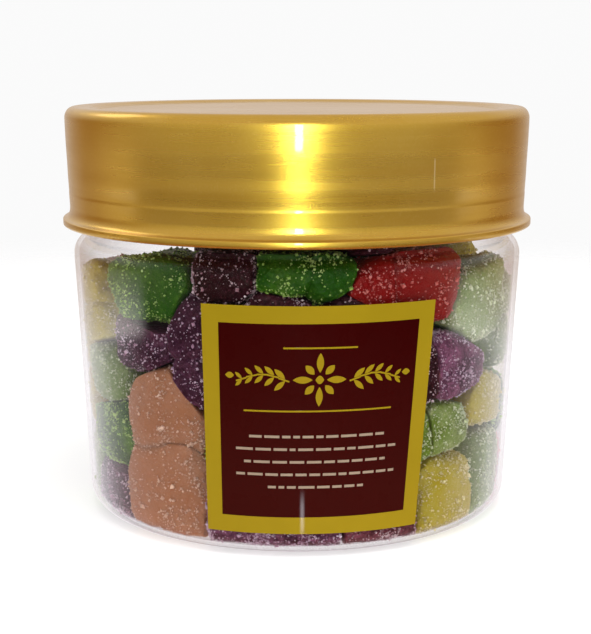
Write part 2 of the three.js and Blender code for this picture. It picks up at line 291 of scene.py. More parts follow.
# ======== helpers
def new_object(name, data):
    thing = bpy.data.objects.new(name, data)
    bpy.context.scene.collection.objects.link(thing)
    return thing


def mesh_piece(name, points, faces, materials, face_slots=None, frost=None):
    """A mesh object from points in millimetres; every face has the same number of corners."""
    points = np.asarray(points, float) * MM
    faces = np.asarray(faces, np.int32)
    corners = faces.shape[1]
    mesh = bpy.data.meshes.new(name)
    mesh.vertices.add(len(points))
    mesh.vertices.foreach_set("co", points.astype(np.float32).ravel())
    mesh.loops.add(faces.size)
    mesh.loops.foreach_set("vertex_index", faces.ravel())
    mesh.polygons.add(len(faces))
    mesh.polygons.foreach_set("loop_start", np.arange(0, faces.size, corners, dtype=np.int32))
    for material in materials:
        mesh.materials.append(material)
    if face_slots is not None:
        mesh.polygons.foreach_set("material_index", np.asarray(face_slots, np.int32))
    mesh.update(calc_edges=True)
    mesh.validate()
    mesh.shade_smooth()
    if frost is not None:
        layer = mesh.attributes.new("frost", "FLOAT", "POINT")
        layer.data.foreach_set("value", np.asarray(frost, np.float32))
    return new_object(name, mesh)


def turned(name, profile, material, segments):
    """A solid of revolution about Z from a line of radii and heights that starts and ends on the axis."""
    rings = np.array(profile[1:-1], float)
    angles = np.linspace(0, 2 * math.pi, segments, endpoint=False)
    away, high = rings[:, :1], np.repeat(rings[:, 1:], segments, axis=1)
    round_part = np.stack([away * np.cos(angles), away * np.sin(angles), high], axis=-1).reshape(-1, 3)
    points = np.vstack([round_part, [(0, 0, profile[0][1]), (0, 0, profile[-1][1])]])
    first, last = (np.full(segments, len(points) - place) for place in (2, 1))
    j = np.arange(segments)
    following = (j + 1) % segments
    corners = []
    for ring in range(len(rings) - 1):
        low, high = ring * segments, (ring + 1) * segments
        corners += [(low + j, low + following, high + following), (low + j, high + following, high + j)]
    top = (len(rings) - 1) * segments
    corners += [(following, j, first), (top + j, top + following, last)]
    piece = mesh_piece(name, points, np.hstack(corners).T, [material])
    soften(piece)
    return piece


def soften(piece):
    """Smooth shading everywhere but over the sharp edges."""
    piece.data.set_sharp_from_angle(angle=math.radians(SHARP_EDGE))


def arc(centre_radius, centre_high, radius, start, end, steps):
    """Points of an arc, in degrees from the outward direction towards +Z."""
    angles = np.radians(np.linspace(start, end, steps + 1))
    return [(centre_radius + radius * math.cos(a), centre_high + radius * math.sin(a)) for a in angles]


def rounded(points, radius, steps):
    """The same line with each of its corners rounded off; its two ends stay."""
    points = [np.array(p, float) for p in points]
    out = [tuple(points[0])]
    for before, corner, after in zip(points, points[1:], points[2:]):
        to_before, to_after = before - corner, after - corner
        reach = min(radius, 0.45 * min(np.linalg.norm(to_before), np.linalg.norm(to_after)))
        start = corner + to_before / np.linalg.norm(to_before) * reach
        end = corner + to_after / np.linalg.norm(to_after) * reach
        for t in np.linspace(0, 1, steps + 1):
            out.append(tuple((1 - t) ** 2 * start + 2 * t * (1 - t) * corner + t * t * end))
    out.append(tuple(points[-1]))
    return out


def cos_sin(degrees):
    return math.cos(math.radians(degrees)), math.sin(math.radians(degrees))


def chance(key):
    """A repeatable chance value from -1 to 1."""
    wave = math.sin(key * 12.9898 + 4.1414) * 43758.5453
    return 2 * (wave - math.floor(wave)) - 1


def body_radius(high):
    """Outer radius of the jar's slanted side."""
    return BODY_BASE_RADIUS + (BODY_TOP_RADIUS - BODY_BASE_RADIUS) * high / LID_BOTTOM


# Radius of the circle where the rounded corner runs out into the base, inside and outside.
CORNER_CENTRE = body_radius(CORNER_RADIUS) - CORNER_RADIUS


def inside_radius(high, gap):
    """Radius of the space in the jar at each height, kept clear of the plastic by a gap."""
    high = np.asarray(high, float)
    corner = FLOOR_CORNER - gap
    below = np.clip(CORNER_RADIUS - high, 0, corner)
    floor_part = CORNER_CENTRE + np.sqrt(corner**2 - below**2)
    shoulder = SHOULDER_RADIUS - WALL - gap
    above = np.clip(high - SHOULDER_START, 0, shoulder)
    curved = body_radius(SHOULDER_START) - SHOULDER_RADIUS + np.sqrt(shoulder**2 - above**2)
    radius = np.where(high < CORNER_RADIUS, floor_part, body_radius(high) - WALL - gap)
    return np.where(high > SHOULDER_START, np.maximum(NECK_INNER - gap, curved), radius)


# ======== materials
class Nodes:
    """The node tree of a new material or world, with short calls to add and link nodes."""

    def __init__(self, name, group=bpy.data.materials):
        self.owner = group.new(name)
        self.owner.use_nodes = True
        self.tree = self.owner.node_tree
        self.tree.nodes.clear()
        kind = "World" if group == bpy.data.worlds else "Material"
        self.output = self.tree.nodes.new("ShaderNodeOutput" + kind)

    def add(self, kind, inputs=None, **settings):
        """A new node, with its inputs by name or number and its settings."""
        node = self.tree.nodes.new(kind)
        for key, value in settings.items():
            setattr(node, key, value)
        for key, value in (inputs or {}).items():
            self.put(node, key, value)
        return node

    def put(self, node, key, value):
        """Links a socket or node to an input, or sets the input's value."""
        if isinstance(value, bpy.types.Node):
            value = value.outputs[0]
        if isinstance(value, bpy.types.NodeSocket):
            self.tree.links.new(value, node.inputs[key])
            return
        if isinstance(value, tuple) and len(value) < len(node.inputs[key].default_value):
            value = (*value, 1.0)
        node.inputs[key].default_value = value

    def place(self):
        return self.add("ShaderNodeTexCoord").outputs["Object"]

    def noise(self, scale, detail=2.0, roughness=0.5, vector=None):
        inputs = {"Scale": scale, "Detail": detail, "Roughness": roughness}
        return self.add("ShaderNodeTexNoise", {"Vector": vector or self.place(), **inputs}).outputs["Fac"]

    def cells(self, scale):
        node = self.add("ShaderNodeTexVoronoi", {"Vector": self.place(), "Scale": scale})
        return node.outputs["Distance"]

    def ramp(self, value, low, high, to_low=0.0, to_high=1.0):
        """Brings a value from the span low to high into to_low to to_high, and keeps it in there."""
        inputs = {"Value": value, "From Min": low, "From Max": high, "To Min": to_low, "To Max": to_high}
        return self.add("ShaderNodeMapRange", inputs).outputs["Result"]

    def math(self, operation, a, b=0.0):
        return self.add("ShaderNodeMath", {0: a, 1: b}, operation=operation).outputs[0]

    def mix(self, share, a, b):
        """Colour a where share is 0, b where it is 1. The numbers are the node's colour sockets."""
        node = self.add("ShaderNodeMix", data_type="RGBA")
        self.put(node, 0, share)
        self.put(node, 6, a)
        self.put(node, 7, b)
        return node.outputs[2]

    def bump(self, height, strength, distance, normal=None):
        """Small relief; distance is how high it stands, in millimetres."""
        inputs = {"Height": height, "Strength": strength, "Distance": distance * MM}
        if normal is not None:
            inputs["Normal"] = normal
        return self.add("ShaderNodeBump", inputs).outputs["Normal"]

    def times(self, a, b):
        return self.math("MULTIPLY", a, b)

    def finish(self, shader):
        self.put(self.output, "Surface", shader)
        return self.owner

    def surface(self, inputs):
        return self.finish(self.add("ShaderNodeBsdfPrincipled", inputs))


def jelly_material(name, deep, frosted):
    """Translucent jelly under a patchy veil of fine sugar. The frost attribute says how much."""
    n = Nodes(name)
    frost = n.add("ShaderNodeAttribute", attribute_name="frost").outputs["Fac"]
    patches = n.ramp(n.noise(150, 3, 0.6), 0.38, 0.64)
    grit = n.ramp(n.noise(1500, 4, 0.7), 0.40, 0.66, 0.25, 1.0)
    crust = n.ramp(n.times(patches, grit), 0, 1, 0.04, 0.9)
    veil = n.times(crust, frost)
    specks = n.times(n.ramp(n.cells(1300), 0.30, 0.14), n.ramp(frost, 0, 1, 0.08, 0.5))
    share = n.add("ShaderNodeClamp", {"Value": n.math("ADD", veil, specks)}).outputs[0]
    colour = n.mix(share, deep, frosted)
    normal = n.bump(n.noise(600, 5, 0.65), 0.6, 0.5)
    normal = n.bump(n.cells(1300), 0.6, 0.3, normal)
    return n.surface({
        "Base Color": colour,
        "Roughness": n.ramp(share, 0, 1, 0.32, 0.6),
        "Specular IOR Level": 0.08,
        "Subsurface Weight": 0.6,
        "Subsurface Radius": (1.0, 0.8, 0.5),
        "Subsurface Scale": 2.4 * MM,
        "Normal": normal,
    })


def sugar_material(name, frosted, grain):
    """Clear sugar grains that take some of the colour below them."""
    n = Nodes(name)
    tint = n.ramp(n.noise(700, 1), 0.36, 0.60, 0.0, 0.75)
    return n.surface({
        "Base Color": n.mix(tint, grain, frosted),
        "Roughness": 0.3,
        "Specular IOR Level": 0.35,
        "Subsurface Weight": 0.5,
        "Subsurface Radius": (1.0, 1.0, 1.0),
        "Subsurface Scale": 0.4 * MM,
    })


def core_material():
    """Painted shade: jelly in cloudy green and red, made dark to stand for the heap's shaded middle."""
    n = Nodes("core_shadow")
    colour = n.mix(n.ramp(n.noise(60, 1), 0.4, 0.6), (0.03, 0.05, 0.01), (0.06, 0.015, 0.02))
    return n.surface({"Base Color": colour, "Roughness": 0.6})


def gold_material():
    """Pearly gold plastic: cloudy, with fine streaks round the side and a thin clear gloss on top."""
    n = Nodes("gold_lid")
    place = n.place()
    streak_space = n.add("ShaderNodeMapping", {"Vector": place, "Scale": (1.0, 1.0, 30.0)})
    streaks = n.noise(22, 3, 0.55, streak_space.outputs[0])
    clouds = n.noise(38, 3, 0.55)
    mica = n.noise(2600, 2, 0.6)
    colour = n.mix(n.ramp(clouds, 0.3, 0.7), (0.60, 0.375, 0.045), (0.66, 0.44, 0.075))
    colour = n.mix(n.ramp(streaks, 0.35, 0.65, 0.0, 0.25), colour, (0.54, 0.32, 0.03))
    colour = n.mix(n.ramp(mica, 0.5, 0.8, 0.0, 0.15), colour, (0.80, 0.60, 0.20))
    split = n.add("ShaderNodeSeparateXYZ", {0: place})
    across, depth, high = (split.outputs[axis] for axis in "XYZ")
    beside = n.math("ABSOLUTE", n.math("SUBTRACT", across, SCRATCH_ACROSS * MM))
    scratch = n.times(n.ramp(beside, 0.16 * MM, 0.05 * MM), n.ramp(depth, 0, -1 * MM))
    scratch = n.times(scratch, n.ramp(high, (SCRATCH_LOW - 1) * MM, SCRATCH_LOW * MM))
    scratch = n.times(scratch, n.ramp(high, SCRATCH_HIGH * MM, (SCRATCH_HIGH - 0.6) * MM))
    colour = n.mix(n.times(scratch, 0.8), colour, (0.92, 0.78, 0.42))
    normal = n.bump(mica, 0.06, 0.02)
    normal = n.bump(n.noise(70, 1), 0.06, 0.12, normal)
    return n.surface({
        "Base Color": colour,
        "Metallic": 0.9,
        "Roughness": n.ramp(n.math("ADD", clouds, streaks), 0.7, 1.3, 0.24, 0.34),
        "Coat Weight": n.ramp(clouds, 0.35, 0.65, 0.38, 0.62),
        "Coat Roughness": 0.04,
        "Normal": normal,
    })


def clear_plastic_material():
    """Clear blown plastic: a gloss that grows towards the edges, and a slight milky veil there."""
    n = Nodes("clear_plastic")
    facing = n.add("ShaderNodeLayerWeight", {"Blend": 0.5}).outputs["Facing"]
    rise = n.times(n.math("POWER", facing, 2.0), 0.30)
    gloss_share = n.math("ADD", rise, n.times(n.math("POWER", facing, 6.0), 0.50))
    veil_share = n.ramp(n.math("POWER", facing, 4.0), 0, 1, 0.001, 0.25)
    normal = n.bump(n.noise(45, 2), 0.12, 0.5)
    clear = n.add("ShaderNodeBsdfTransparent", {"Color": (0.985, 0.978, 0.985)})
    gloss = n.add("ShaderNodeBsdfGlossy", {"Color": (1, 1, 1), "Roughness": 0.04, "Normal": normal})
    veil = n.add("ShaderNodeBsdfDiffuse", {"Color": (0.84, 0.80, 0.84)})
    body = n.add("ShaderNodeMixShader", {0: veil_share, 1: clear, 2: veil})
    return n.finish(n.add("ShaderNodeMixShader", {0: gloss_share, 1: body, 2: gloss}))


def print_material(name, colour, roughness):
    """Ink under a glossy laminate, a little uneven."""
    n = Nodes(name)
    shade = n.ramp(n.noise(70, 4, 0.6), 0.3, 0.7, 0.0, 0.25)
    lighter = tuple(min(1.0, c * 1.35) for c in colour)
    normal = n.bump(n.noise(60, 2), 0.15, 0.2)
    return n.surface({
        "Base Color": n.mix(shade, colour, lighter),
        "Roughness": n.ramp(n.noise(300, 3), 0.3, 0.7, roughness, roughness + 0.08),
        "Specular IOR Level": 0.02,
        "Coat Weight": 0.6,
        "Coat Roughness": 0.03,
        "Normal": normal,
    })


# ======== jar and lid
def make_jar(material):
    """The thin wall, from the middle of the underside round the rim to the middle of the floor."""
    shoulder_centre = body_radius(SHOULDER_START) - SHOULDER_RADIUS
    ring_edge = STANDING_RING_INNER - PUSH_UP_SLOPE
    corner_start = CORNER_CENTRE - 0.2
    nub = PUSH_UP - NUB_DEPTH
    underside = [(0, nub), (NUB_RADIUS, nub), (NUB_RADIUS + NUB_SLOPE, PUSH_UP), (ring_edge, PUSH_UP)]
    underside += [(STANDING_RING_INNER, 0), (corner_start, 0)]
    rim = [(NECK_RADIUS, NECK_STRAIGHT), (NECK_RADIUS, NECK_TOP)]
    rim += [(NECK_INNER, NECK_TOP), (NECK_INNER, NECK_STRAIGHT)]
    floor = [(corner_start, WALL), (STANDING_RING_INNER, WALL)]
    floor += [(ring_edge, FLOOR_HEIGHT), (1, FLOOR_HEIGHT)]
    inner_shoulder = SHOULDER_RADIUS - WALL
    profile = [
        *rounded(underside, SOFTNESS, 3),
        *arc(CORNER_CENTRE, CORNER_RADIUS, CORNER_RADIUS, -90, 0, 16),
        *arc(shoulder_centre, SHOULDER_START, SHOULDER_RADIUS, 0, SHOULDER_TURN, 12),
        *rounded(rim, NECK_SOFTNESS, 3),
        *arc(shoulder_centre, SHOULDER_START, inner_shoulder, SHOULDER_TURN_INSIDE, 0, 10),
        *arc(CORNER_CENTRE, CORNER_RADIUS, FLOOR_CORNER, 0, -90, 12),
        *rounded(floor, SOFTNESS, 3),
        (0, FLOOR_HEIGHT),
    ]
    piece = turned("clear_jar", profile, material, ROUND_SEGMENTS)
    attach(piece, "root")
    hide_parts("jar")


def make_lid(material):
    """The hollow lid, from the middle of its inside round the lip to the middle of its top."""
    under_top = LID_TOP - LID_THICKNESS
    lip = [(0, under_top), (LID_INNER, under_top), (LID_INNER, LID_BOTTOM), (LIP_RADIUS, LID_BOTTOM)]
    lip += [(LIP_RADIUS, LID_BOTTOM + LIP_TALL), (FOOT_RADIUS, FOOT_BOTTOM)]
    flare_wide = FOOT_RADIUS - WAIST_RADIUS
    flare = [
        (FOOT_RADIUS - flare_wide * math.sin(t), FOOT_BOTTOM + FLARE_TALL * (1 - math.cos(t)))
        for t in np.radians(np.linspace(15, 90, 7))
    ]
    side = [(WAIST_RADIUS, WAIST_TOP), *SIDE_STEPS, (SIDE_RADIUS, SIDE_TOP)]
    edge = [
        (SIDE_RADIUS - EDGE_WIDE * (1 - math.cos(t)), LID_TOP - EDGE_TALL * (1 - math.sin(t)))
        for t in np.radians(np.linspace(6, 90, 12))
    ]
    sunk = LID_TOP - SUNK_DEPTH
    top = [(RIM_OUTER, LID_TOP), (RIM_INNER, LID_TOP), (SUNK_RADIUS, sunk), (2, sunk), (0, sunk)]
    profile = [
        *rounded(lip, LIP_SOFTNESS, 4),
        *flare,
        *rounded(side, SIDE_SOFTNESS, 5),
        *edge,
        *rounded(top, SOFTNESS, 4),
    ]
    piece = turned("gold_lid", profile, material, ROUND_SEGMENTS)
    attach(piece, "root")
    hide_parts("lid")


# ======== label
def label_right(high):
    """Degrees round of the label's right edge, which leans."""
    down = (LABEL_TOP - high) / (LABEL_TOP - LABEL_BOTTOM)
    return LABEL_RIGHT_TOP + (LABEL_RIGHT_BOTTOM - LABEL_RIGHT_TOP) * down


def on_label(across, up, lift):
    """A point of the label: across and up run from 0 to 1, lift is off the jar's side."""
    high = LABEL_BOTTOM + (LABEL_TOP - LABEL_BOTTOM) * up
    angle = np.radians(LABEL_LEFT + (label_right(high) - LABEL_LEFT) * across)
    radius = body_radius(high) + lift
    return np.stack([radius * np.sin(angle), -radius * np.cos(angle), high], axis=-1)


def label_plate(across_lines, up_lines, low, high, shape=None):
    """Points and quads of a thin closed plate on the label, and how many of the quads are its front.

    shape bends the unit grid to another outline.
    """
    a, u = np.meshgrid(across_lines, up_lines)
    if shape is not None:
        a, u = shape(a, u)
    columns, rows = len(across_lines), len(up_lines)
    points = np.vstack([on_label(a, u, high).reshape(-1, 3), on_label(a, u, low).reshape(-1, 3)])
    count = columns * rows
    index = np.arange(count).reshape(rows, columns)
    front = np.stack([index[:-1, :-1], index[:-1, 1:], index[1:, 1:], index[1:, :-1]], axis=-1)
    front = front.reshape(-1, 4)
    edge = np.concatenate([index[0, :-1], index[:-1, -1], index[-1, :0:-1], index[:0:-1, 0]])
    behind = edge + count
    sides = np.stack([edge, behind, np.roll(behind, -1), np.roll(edge, -1)], axis=1)
    return points, np.vstack([front, front[:, ::-1] + count, sides]), len(front)


def banded(border, middle_steps):
    """Grid lines from 0 to 1, with a band of four steps at either end."""
    middle = np.linspace(border, 1 - border, middle_steps + 1)[:-1]
    return np.concatenate([np.linspace(0, border, 5)[:-1], middle, np.linspace(1 - border, 1, 5)])


def make_label(gold, maroon, pale):
    """The sheet with its border, a plain ornament and rows of dashes."""
    width = math.radians(LABEL_RIGHT_TOP - LABEL_LEFT) * LABEL_RADIUS
    height = LABEL_TOP - LABEL_BOTTOM
    side = BORDER / width
    end = BORDER / height
    across = banded(side, 48)
    up = banded(end, 40)
    points, quads, shown = label_plate(across, up, LABEL_LIFT, LABEL_LIFT + LABEL_THICKNESS)
    slots = np.zeros(len(quads), int)

    def inside(lines, border):
        middle = (lines[:-1] + lines[1:]) / 2
        return (middle > border) & (middle < 1 - border)

    slots[:shown] = (inside(across, side)[None, :] & inside(up, end)[:, None]).ravel()
    label = mesh_piece("label_sheet", points, quads, [gold, maroon], slots)
    soften(label)
    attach(label, "root")
    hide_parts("label")

    print_low = LABEL_LIFT + LABEL_THICKNESS - PRINT_SUNK
    parts = []

    def plate(right, above, wide, tall, outline, turn=0.0, columns=10, rows=3):
        """A printed shape, placed from the label's middle and sized in millimetres.

        outline gives its height along it, as a share of tall.
        """
        cos, sin = cos_sin(turn)

        def shape(a, u):
            along = a * 2 - 1
            x = along * wide / 2
            y = (u * 2 - 1) * tall / 2 * outline(along)
            return 0.5 + (right + x * cos - y * sin) / width, 0.5 + (above + x * sin + y * cos) / height

        across_lines = np.linspace(0, 1, columns + 1)
        up_lines = np.linspace(0, 1, rows + 1)
        print_high = print_low + PRINT_THICKNESS
        points, quads, _ = label_plate(across_lines, up_lines, print_low, print_high, shape)
        parts.append((points, quads))

    def bar(along):
        return np.ones_like(along)

    def leaf(along):
        return np.maximum(0.04, np.cos(along * math.pi / 2) ** 0.8)

    # A plain rosette between two sprays of leaves in gold, where a sign would be.
    for petal in range(PETALS):
        angle = petal * 360 / PETALS
        out, long = SHORT_PETAL if petal % 2 else LONG_PETAL
        x, y = (out * part for part in cos_sin(angle))
        plate(x, SIGN_HIGH + y, long, PETAL_WIDE, leaf, angle)
    plate(0, SIGN_HIGH, ROSETTE_MIDDLE, ROSETTE_MIDDLE, leaf)
    for hand in (-1, 1):
        for k in range(LEAF_PAIRS):
            along = SPRAY_START + LEAF_STEP * k
            bend = STEM_BEND * (along - SPRAY_START)
            stem = STEM_RISE * math.sin(bend)
            size = 1 - LEAF_SHRINK * k
            for way in (-1, 1):
                x = along + LEAF_AWAY[0] * size
                y = stem + way * LEAF_AWAY[1] * size
                long, wide = (part * size for part in LEAF_SIZE)
                plate(hand * x, SIGN_HIGH + y, long, wide, leaf, hand * way * LEAF_TILT)
            slope = hand * STEM_SLOPE * math.cos(bend)
            plate(hand * along, SIGN_HIGH + stem, *STEM_SIZE, bar, slope, 3, 1)
        plate(hand * BUD_PLACE[0], SIGN_HIGH + BUD_PLACE[1], *BUD_SIZE, leaf)
    plate(0, SIGN_HIGH - RULE_AWAY, RULES[0], RULE_THICKNESS, bar, 0, 40, 1)
    plate(0, SIGN_HIGH + RULE_AWAY, RULES[1], RULE_THICKNESS, bar, 0, 24, 1)
    ornament = joined_plates("label_ornament", parts, gold)
    parts.clear()
    # Rows of plain dashes where small print would be.
    for row, wide in enumerate(DASH_ROWS):
        start = -wide / 2
        while start < wide / 2 - DASH_SHORTEST:
            dash = min(DASH_LONG + DASH_SPREAD * chance(row * 31 + start), wide / 2 - start)
            plate(start + dash / 2, -FIRST_ROW_DOWN - row * ROW_STEP, dash, DASH_THICKNESS, bar, 0, 2, 1)
            start += dash + DASH_GAP
    bars = joined_plates("label_bars", parts, pale)


def joined_plates(name, parts, material):
    """One piece from several plates, each given by its points and quads."""
    offset = 0
    points, quads = [], []
    for part_points, part_quads in parts:
        points.append(part_points)
        quads.append(part_quads + offset)
        offset += len(part_points)
    piece = mesh_piece(name, np.vstack(points), np.vstack(quads), [material])
    soften(piece)
    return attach(piece, "root")


# ======== candies
def cube_grid(steps):
    """Points and outward quads of a cube from -1 to 1 with a grid on each face, closed."""
    lines = np.linspace(-1, 1, steps + 1)
    u, v = (g.ravel() for g in np.meshgrid(lines, lines, indexing="ij"))
    one = np.ones_like(u)
    index = np.arange((steps + 1) ** 2).reshape(steps + 1, steps + 1)
    quad = np.stack([index[:-1, :-1], index[1:, :-1], index[1:, 1:], index[:-1, 1:]], axis=-1)
    quad = quad.reshape(-1, 4)
    points, quads = [], []
    for axis in range(3):
        for side in (-1, 1):
            face = np.roll(np.stack([side * one, u, v], axis=1), axis, axis=1)
            points.append(face)
            quads.append((quad if side > 0 else quad[:, ::-1]) + len(points[0]) * (len(points) - 1))
    points, quads = np.vstack(points), np.vstack(quads)
    unique, back = np.unique(np.round(points, 6), axis=0, return_inverse=True)
    return unique, back.reshape(-1)[quads]


def soft_limit(value, limit, width=WALL_BEND):
    """value kept under limit, with a soft bend of this width."""
    return limit - width * np.logaddexp(0, (limit - value) / width)


def spin(axis, degrees):
    """Rotation matrix about a row axis."""
    c, s = cos_sin(degrees)
    turn = {
        "x": [[1, 0, 0], [0, c, -s], [0, s, c]],
        "y": [[c, 0, s], [0, 1, 0], [-s, 0, c]],
        "z": [[c, -s, 0], [s, c, 0], [0, 0, 1]],
    }
    return np.array(turn[axis])


def candy_list():
    """Every candy as a dict: front ones, rows, a second layer behind them, and last the low ones."""
    terms = ("around", "high", "wide", "tall", "turn", "colour", "frost")
    candies = [dict(zip(terms, values), inner=0) for values in FRONT_CANDIES]
    names = list(COLOUR_SHARES)
    ends = np.cumsum(list(COLOUR_SHARES.values()))
    for key, (high, start, end, count) in enumerate(OUTER_ROWS + INNER_ROWS, 1):
        last = None
        for i in range(count):
            draws = (chance(key * 100 + i * 10 + k) for k in range(1, 9))
            around, rise, wide, tall, turn, pick, skip, frost = draws
            colour = names[int(np.searchsorted(ends, (pick + 1) / 2 * 0.999))]
            if colour == last:
                colour = names[(names.index(colour) + 1 + int(2 * abs(skip))) % len(names)]
            last = colour
            chosen = ROW_COLOURS.get(key, ())
            candies.append(dict(
                around=start + (end - start) * i / (count - 1) + SHIFT_AROUND * around,
                high=high + SHIFT_HIGH * rise,
                wide=ROW_WIDE * (1 + SIZE_SPREAD * wide),
                tall=ROW_TALL * (1 + SIZE_SPREAD * tall),
                turn=TURN_SPREAD * turn,
                colour=chosen[i] if i < len(chosen) else colour,
                frost=ROW_FROST + ROW_FROST_SPREAD * frost,
                inner=INNER_SHIFT if key > len(OUTER_ROWS) else 0,
            ))
    return candies + [dict(zip(terms, values), inner=0) for values in LOW_CANDIES]


def unevenness(p, key, height, pitch, count, steps):
    """The sum of a few waves in chance directions, at each point."""
    total = 0
    for k in range(1, count + 1):
        direction = np.array([chance(key + step * k) for step in steps]) * pitch
        total = total + height * np.sin(p @ direction + k)
    return total


def candy_points(candy, key, grid):
    """A rounded cube, lopsided and lumpy, at its place; notes in candy how its frosting leans, which on
    the listed side-lit front candies is painted light.
    """
    reach = (np.abs(grid) ** CANDY_ROUNDNESS).sum(1) ** (-1 / CANDY_ROUNDNESS)
    p = grid * reach[:, None]
    p[:, 0] *= 1 + LOPSIDED * chance(key + 0.3) * p[:, 2]
    p[:, 2] *= 1 + LOPSIDED * chance(key + 0.6) * p[:, 0]
    p *= (1 + unevenness(p, key, *WAVES) + unevenness(p, key, *RIPPLES))[:, None]
    p *= np.array([candy["wide"], CANDY_DEPTH, candy["tall"]]) / 2
    if candy["high"] < BOTTOM_ROW:
        p[:, 2] *= np.where(p[:, 2] < 0, BOTTOM_STRETCH, 1)
    tilt = spin("x", NOD * chance(key + 0.4)) @ spin("z", TWIST * chance(key + 0.5))
    p = p @ (spin("y", candy["turn"]) @ tilt).T
    candy["across"] = np.clip(p[:, 0] / SIDE_REACH, -1, 1)
    # Random lean of the frosting, except on the listed side-lit front candies, where the lean is painted
    # light.
    candy["lean"] = PAINTED_LIGHT_SIDE.get(key, chance(key + 0.85))
    if candy["high"] > SLOPED_FROM and abs(candy["around"]) > SLOPED_SIDE:
        p[:, 2] -= BACK_SLOPE * (p[:, 1] + CANDY_DEPTH / 2)
    p[:, 1] -= inside_radius(candy["high"], CANDY_GAP) - CANDY_DEPTH / 2 - candy["inner"]
    p = p @ spin("z", candy["around"]).T
    p[:, 2] += candy["high"]
    return p


def press_apart(shapes, candies):
    """Flattens candies against each other where they overlap. Returns how far each point was moved."""
    centres = [s.mean(0) for s in shapes]
    pressed = [np.zeros(len(s)) for s in shapes]
    by_hand = len(FRONT_CANDIES)
    for i in range(len(shapes)):
        for j in range(i + 1, len(shapes)):
            line = centres[j] - centres[i]
            length = np.linalg.norm(line)
            if length > NEIGHBOUR_REACH:
                continue
            line /= length
            stuck = j < by_hand and candies[i]["colour"] == candies[j]["colour"]
            gap = -STUCK if stuck else PRESS_GAP
            along_i = (shapes[i] - centres[i]) @ line
            along_j = (shapes[j] - centres[j]) @ -line
            reach_i, reach_j = along_i.max(), along_j.max()
            if reach_i + reach_j + gap < length:
                continue
            middle = (length + reach_i - reach_j) / 2
            for k, along, limit, way in (
                (i, along_i, middle - gap / 2, line),
                (j, along_j, length - middle - gap / 2, -line),
            ):
                change = soft_limit(along, limit, PRESS_BEND) - along
                change[along < limit - PRESS_REACH] = 0
                shapes[k] = shapes[k] + change[:, None] * way
                pressed[k] = np.maximum(pressed[k], np.abs(change))
    return pressed


def keep_in_jar(points, in_neck):
    """Presses the points flat against wall and floor. Returns 1 at the wall and 0 well off it."""
    away = np.hypot(points[:, 0], points[:, 1])
    inwards = (CORNER_CENTRE - away) / (CORNER_CENTRE - STANDING_RING_INNER)
    low = WALL + CANDY_GAP + PUSH_UP * np.clip(inwards, 0, 1)
    points[:, 2] = -soft_limit(-points[:, 2], -low)
    if not in_neck:
        points[:, 2] = soft_limit(points[:, 2], NECK_BOTTOM + CANDY_GAP)
    limit = inside_radius(NECK_TOP if in_neck else points[:, 2], CANDY_GAP)
    kept = soft_limit(away, limit)
    points[:, :2] *= (kept / away)[:, None]
    return np.clip(1 - (limit - kept) / NEAR_WALL, 0, 1)


NO_GRAINS = (np.zeros((0, 3)), np.zeros((0, 3), int))
# A sugar grain's corners and sides: four sides for a small one, eight for a large one.
CHIP = (
    np.array([[1, 1, 1], [1, -1, -1], [-1, 1, -1], [-1, -1, 1]], float) * 0.8,
    np.array([[0, 1, 2], [0, 2, 3], [0, 3, 1], [1, 3, 2]]),
)
CRYSTAL = (
    np.array([[1, 0, 0], [-1, 0, 0], [0, 1, 0], [0, -1, 0], [0, 0, 1], [0, 0, -1]], float),
    np.array([[0, 2, 4], [2, 1, 4], [1, 3, 4], [3, 0, 4], [2, 0, 5], [1, 2, 5], [3, 1, 5], [0, 3, 5]]),
)


